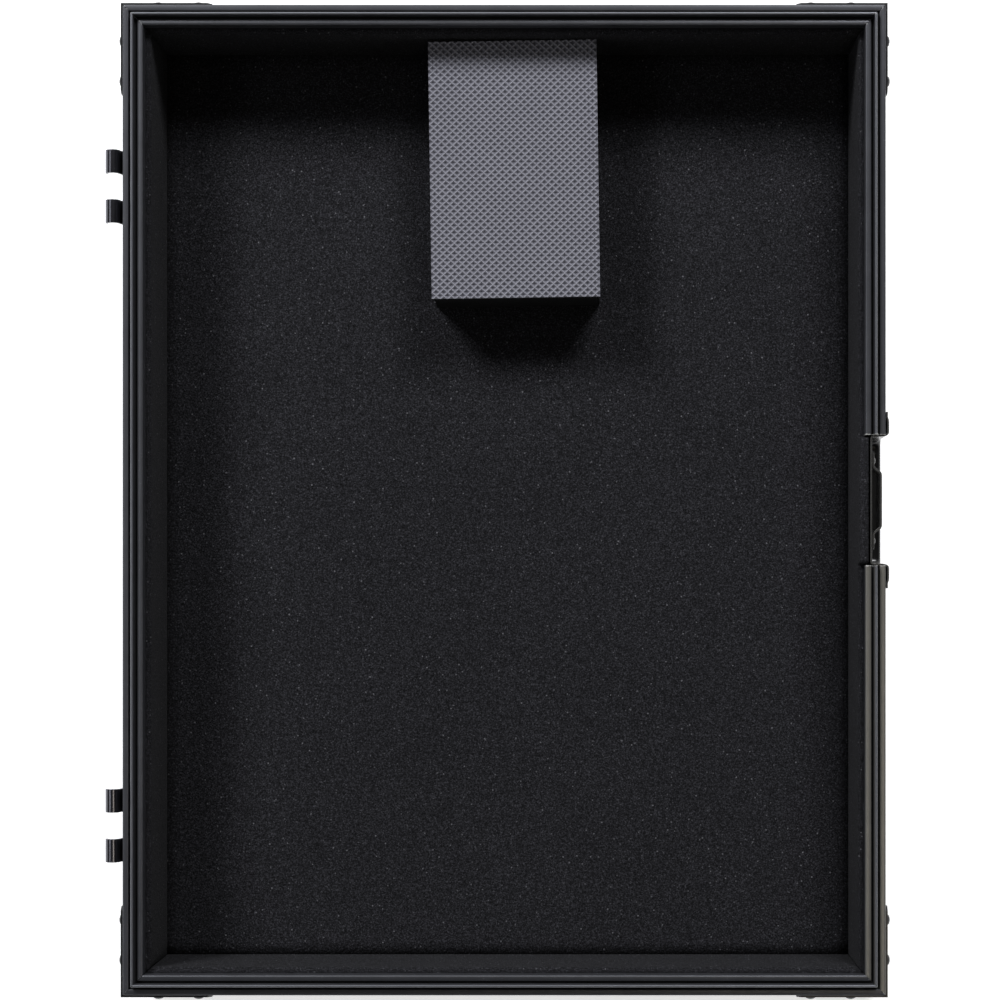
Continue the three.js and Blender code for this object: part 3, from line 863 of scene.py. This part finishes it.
def leaf_verts(path, half):
    """Six points across the sheet at every point of its path, with the plate's and the tips' corners cut."""
    inner = HOOK_PITCH / 2 - HOOK_WIDTH / 2
    outer = HOOK_PITCH / 2 + HOOK_WIDTH / 2
    verts = []
    for i, (depth, z) in enumerate(path):
        for y in (-half, -outer, -inner, inner, outer, half):
            pull = LEAF_CORNER if i == 0 and abs(y) == half else 0
            if i == len(path) - 1:
                pull = TIP_CORNER if abs(y) == outer else -TIP_CORNER
            verts.append((depth, y - math.copysign(1, y) * pull, z))
    return verts


def leaf_faces(rows, columns):
    """The quads of the plate and of the two arms above it."""
    strips = columns - 1
    quads = grid_faces(rows, columns)
    return [q for k, q in enumerate(quads) if k // strips < PLATE_ROWS - 1 or k % strips in ARM_COLUMNS]


def add_hinge(end):
    node = "hinge_leaf_" + end
    low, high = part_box(node)
    path = leaf_path(low.z)
    verts = leaf_verts(path, (high.y - low.y) / 2)
    faces = leaf_faces(len(path), len(verts) // len(path))
    used = sorted({v for face in faces for v in face})
    index = {v: k for k, v in enumerate(used)}
    faces = [tuple(index[v] for v in face) for face in faces]
    place = Matrix.Translation((left, (low.y + high.y) / 2, 0))
    leaf = make_piece(node + "_pressed", [verts[v] for v in used], faces, place)
    add_thickness(leaf, HOOK_SHEET)
    add_bevel(leaf, 0.3 * MM, 2, 50)
    finish_piece(leaf, materials["hook"], "black_steel", node)


for hinge_end in ("block_end", "plain_end"):
    add_hinge(hinge_end)

# ---------------------------------------------------------------------------------------------------------
# Latch dish and keeper

DISH_SHEET = 1.2 * MM
DISH_BEAD = 0.8 * MM  # how far the flange is pressed out round the mouth
DISH_FLANGE = 16 * MM  # width of the flange
MOUTH_START = 13.6 * MM  # where the flange starts to bend into the mouth, from its edge
MOUTH_BEND = 2.2 * MM  # radius of that bend
WALL_BEND = 1.8 * MM  # depth of the bend at the bottom of the dish
DISH_RIVET_INSET = 7.5 * MM
KEEPER_SHEET = 1.5 * MM
KEEPER_CREST = 18.5 * MM  # half length of the raised middle
KEEPER_FOOT = 22.5 * MM  # where the slopes meet the flat ends, from the middle
KEEPER_BEND = 1.6 * MM
KEEPER_CORNER = 1.2 * MM


def dish_contour(half_width, bottom, radius, depth, top):
    """One U-shaped line round the recess, open at the rim, as depth, place along the side and height."""
    line = [(half_width, z) for z in spaced(top, bottom + radius, 8)]
    line += arc((half_width - radius, bottom + radius), radius, 0, -90, 8)[1:]
    line += [(y, bottom) for y in spaced(half_width - radius, radius - half_width, 12)[1:]]
    line += arc((radius - half_width, bottom + radius), radius, -90, -180, 8)[1:]
    line += [(-half_width, z) for z in spaced(bottom + radius, top, 8)[1:]]
    return [(depth, y, z) for y, z in line]


def dish_profile(face, wall):
    """The dish from its edge to its bottom, as distance from the edge, corner radius and depth."""
    bead = face - DISH_BEAD
    profile = [
        (0, 7 * MM, face),
        (3.4 * MM, 7 * MM, face),
        (4.4 * MM, 7 * MM, face - 0.3 * DISH_BEAD),
        (5.6 * MM, 7 * MM, face - 0.85 * DISH_BEAD),
        (7 * MM, 7 * MM, bead),
        (MOUTH_START, 7.4 * MM, bead),
    ]
    for angle in (25, 50, 75):
        a = math.radians(angle)
        depth = bead + MOUTH_BEND * (1 - math.cos(a))
        profile.append((MOUTH_START + MOUTH_BEND * math.sin(a), 6.6 * MM, depth))
    side = DISH_FLANGE + 0.6 * MM
    profile.append((DISH_FLANGE + 0.2 * MM, 5.5 * MM, face + 3 * MM))
    profile.append((side, 5.2 * MM, wall - WALL_BEND))
    for angle in (30, 60, 90):
        a = math.radians(angle)
        inset = side + 1.6 * MM * (1 - math.cos(a))
        profile.append((inset, 5 * MM, wall - WALL_BEND * (1 - math.sin(a))))
    return profile


def add_dish():
    place, _ = SIDES["latch_side"]
    low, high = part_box("latch_dish")
    edge = (high.y - low.y) / 2
    face = right - high.x + DISH_SHEET / 2
    wall = right - low.x - DISH_SHEET / 2
    contours = []
    for inset, radius, depth in dish_profile(face, wall):
        contours.append(dish_contour(edge - inset, low.z + inset, radius, depth, high.z))
    verts = [point for contour in contours for point in contour]
    count = len(contours[0])
    faces = grid_faces(len(contours), count)
    faces.append(tuple(range(len(verts) - count, len(verts))))
    dish = make_piece("latch_dish_pressed", verts, faces, place)
    add_thickness(dish, DISH_SHEET)
    add_bevel(dish, 0.2 * MM, 2, 50)
    finish_piece(dish, materials["latch"], "pressed_latch_steel", "latch_dish")
    beside = edge - DISH_RIVET_INSET
    spots = [(y, z) for y in (-beside, beside) for z in (high.z - 14 * MM, low.z + 24 * MM)]
    spots += [(y, low.z + DISH_RIVET_INSET) for y in (-30 * MM, 0, 30 * MM)]
    for i, (y, z) in enumerate(spots):
        at = place @ Vector((face - DISH_BEAD - DISH_SHEET / 2, y, z))
        add_rivet(f"dish_rivet_{i + 1}", at, (1, 0, 0), 3 * MM, 0.6 * MM, "steel")


def keeper_path(half_length, back_depth, rise):
    """The keeper's middle line in plan, with a small bend radius at each fold."""
    crest = back_depth - rise
    half = [(KEEPER_CREST, crest), (KEEPER_FOOT, back_depth), (half_length, back_depth)]
    corners = [(-y, depth) for y, depth in reversed(half)] + half
    path = [corners[0]]
    for before, at, after in zip(corners, corners[1:], corners[2:]):
        p, q, r = Vector(before), Vector(at), Vector(after)
        a = q + (p - q).normalized() * KEEPER_BEND
        b = q + (r - q).normalized() * KEEPER_BEND
        for t in (0, 0.25, 0.5, 0.75, 1):
            path.append(tuple(a.lerp(q, t).lerp(q.lerp(b, t), t)))
    path.append(corners[-1])
    return path


def add_keeper():
    place, _ = SIDES["latch_side"]
    low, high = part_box("latch_keeper")
    half_length = (high.y - low.y) / 2
    rise = (high.x - low.x) - KEEPER_SHEET
    path = keeper_path(half_length, right - low.x - KEEPER_SHEET / 2, rise)
    levels = spaced(low.z, high.z, 6)
    verts = []
    for z in levels:
        for along, depth in path:
            at_corner = abs(along) > half_length - 0.1 * MM and z in (levels[0], levels[-1])
            pull = KEEPER_CORNER if at_corner else 0
            verts.append((depth, along - math.copysign(pull, along), z))
    keeper = make_piece("latch_keeper_pressed", verts, grid_faces(len(levels), len(path)), place)
    add_thickness(keeper, KEEPER_SHEET)
    add_bevel(keeper, 0.25 * MM, 2, 50)
    finish_piece(keeper, materials["keeper"], "pressed_latch_steel", "latch_keeper")


add_dish()
add_keeper()

# ---------------------------------------------------------------------------------------------------------
# Ball corners

CORNER_VOXEL = 0.75 * MM
CORNER_SHEET = 1.8 * MM  # from the case's faces out to the rivets' feet
CORNER_RIVET = 27 * MM  # from the case's corner along the plates to their rivets


def add_ball_corner(name):
    """The CAD corner rebuilt with its ball blended into the plates, as a pressing has it."""
    piece = link_object(name + "_pressed", nodes[name].data.copy())
    add_weld(piece)
    remesh = piece.modifiers.new("remesh", "REMESH")
    remesh.mode = "VOXEL"
    remesh.voxel_size = CORNER_VOXEL
    smooth = piece.modifiers.new("blend", "SMOOTH")
    smooth.factor = 0.5
    smooth.iterations = 4
    bpy.context.view_layer.update()
    graph = bpy.context.evaluated_depsgraph_get()
    made = bpy.data.meshes.new_from_object(piece.evaluated_get(graph))
    piece.modifiers.clear()
    piece.data = made
    for polygon in made.polygons:
        polygon.use_smooth = True
    finish_piece(piece, materials["steel"], "black_steel", name)


def add_corner_rivets(name):
    """One rivet through each of a ball corner's three plates."""
    low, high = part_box(name)
    sx = 1 if (low.x + high.x) / 2 > middle_x else -1
    sy = 1 if (low.y + high.y) / 2 > middle_y else -1
    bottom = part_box("edge_angle_hinge_side")[0].z
    corner = Vector((right if sx > 0 else left, back if sy > 0 else front, bottom))
    up, under = 0.8 * CORNER_RIVET, CORNER_RIVET - 4 * MM
    for label, offset, outwards in (
        ("side", (CORNER_SHEET, -CORNER_RIVET, up), (sx, 0, 0)),
        ("end", (-CORNER_RIVET, CORNER_SHEET, up), (0, sy, 0)),
        ("under", (-under, -under, -CORNER_SHEET), (0, 0, -1)),
    ):
        at = corner + Vector((sx * offset[0], sy * offset[1], offset[2]))
        add_rivet(f"{name}_rivet_{label}", at, outwards, 2.8 * MM, 1.2 * MM, "steel")


for node_name in sorted(nodes):
    if node_name.startswith("ball_corner"):
        add_ball_corner(node_name)
        add_corner_rivets(node_name)

# ---------------------------------------------------------------------------------------------------------
# Stage, light and camera

FRAME_WIDTH = 0.681  # metres across the picture at the rim's height
CAMERA_HEIGHT = 1.83  # above the rim
CAMERA_ASIDE = Vector((0.09, -0.11))  # the camera's place off the picture's centre, in picture widths
PICTURE_CENTRE_X = -2.8 * MM  # off the lid's middle


def add_floor():
    """A wide pale floor that curves up into a low wall all round."""
    flat, sweep, wall_height, sectors = 7, 2, 2.4, 64
    rings = [(flat - 0.5, 0), (flat, 0)]
    rings += [(flat + r, sweep + z) for r, z in arc((0, 0), sweep, -90, 0, 10)[1:]]
    rings.append((flat + sweep, wall_height))
    verts = []
    for radius, z in rings:
        verts += ring_points(radius, z, sectors)
    faces = grid_faces(len(rings), sectors, closed=True)
    faces.append(tuple(reversed(range(sectors))))
    floor = make_piece("studio_floor", verts, faces)
    paint(floor, floor_material())


def add_area_light(name, at, power, width, height, colour=(1, 1, 1)):
    """A rectangular lamp that points at the middle of the rim."""
    data = bpy.data.lights.new(name, "AREA")
    data.shape = "RECTANGLE"
    data.size = width
    data.size_y = height
    data.energy = power
    data.color = colour
    lamp = link_object(name, data)
    lamp.location = at
    target = Vector((middle_x, middle_y, rim_z))
    lamp.rotation_euler = (target - Vector(at)).to_track_quat("-Z", "Y").to_euler()


def add_lights():
    cool, warm = (0.97, 0.98, 1.0), (1.0, 0.90, 0.74)
    add_area_light("key_left", (-1.6, 2.1, 2.22), 102, 0.9, 0.9, cool)
    add_area_light("key_right", (0.95, 2.1, 2.22), 70, 0.9, 0.9, cool)
    add_area_light("strip_left", (-1.75, 0.1, 2.1), 7, 1.3, 0.6, cool)
    add_area_light("overhead", (0, 0, 3.3), 1, 2.4, 2.4)
    add_area_light("side_card", (0.62, -0.5, 2.5), 3.5, 0.4, 0.8, warm)
    world = bpy.data.worlds.new("studio")
    world.use_nodes = True
    background = world.node_tree.nodes["Background"].inputs
    background["Color"].default_value = (0.95, 0.97, 1.0, 1)
    background["Strength"].default_value = 0.025
    bpy.context.scene.world = world


def add_camera():
    """A camera that looks straight down, shifted so that it stands a little off the picture's centre."""
    data = bpy.data.cameras.new("camera")
    data.sensor_width = 36
    data.lens = data.sensor_width * CAMERA_HEIGHT / FRAME_WIDTH
    data.shift_x = -CAMERA_ASIDE.x
    data.shift_y = -CAMERA_ASIDE.y
    camera = link_object("camera", data)
    camera.location = (
        middle_x + PICTURE_CENTRE_X + CAMERA_ASIDE.x * FRAME_WIDTH,
        middle_y + CAMERA_ASIDE.y * FRAME_WIDTH,
        rim_z + CAMERA_HEIGHT,
    )
    bpy.context.scene.camera = camera


add_floor()
add_lights()
add_camera()
bpy.context.scene.view_settings.view_transform = "Standard"
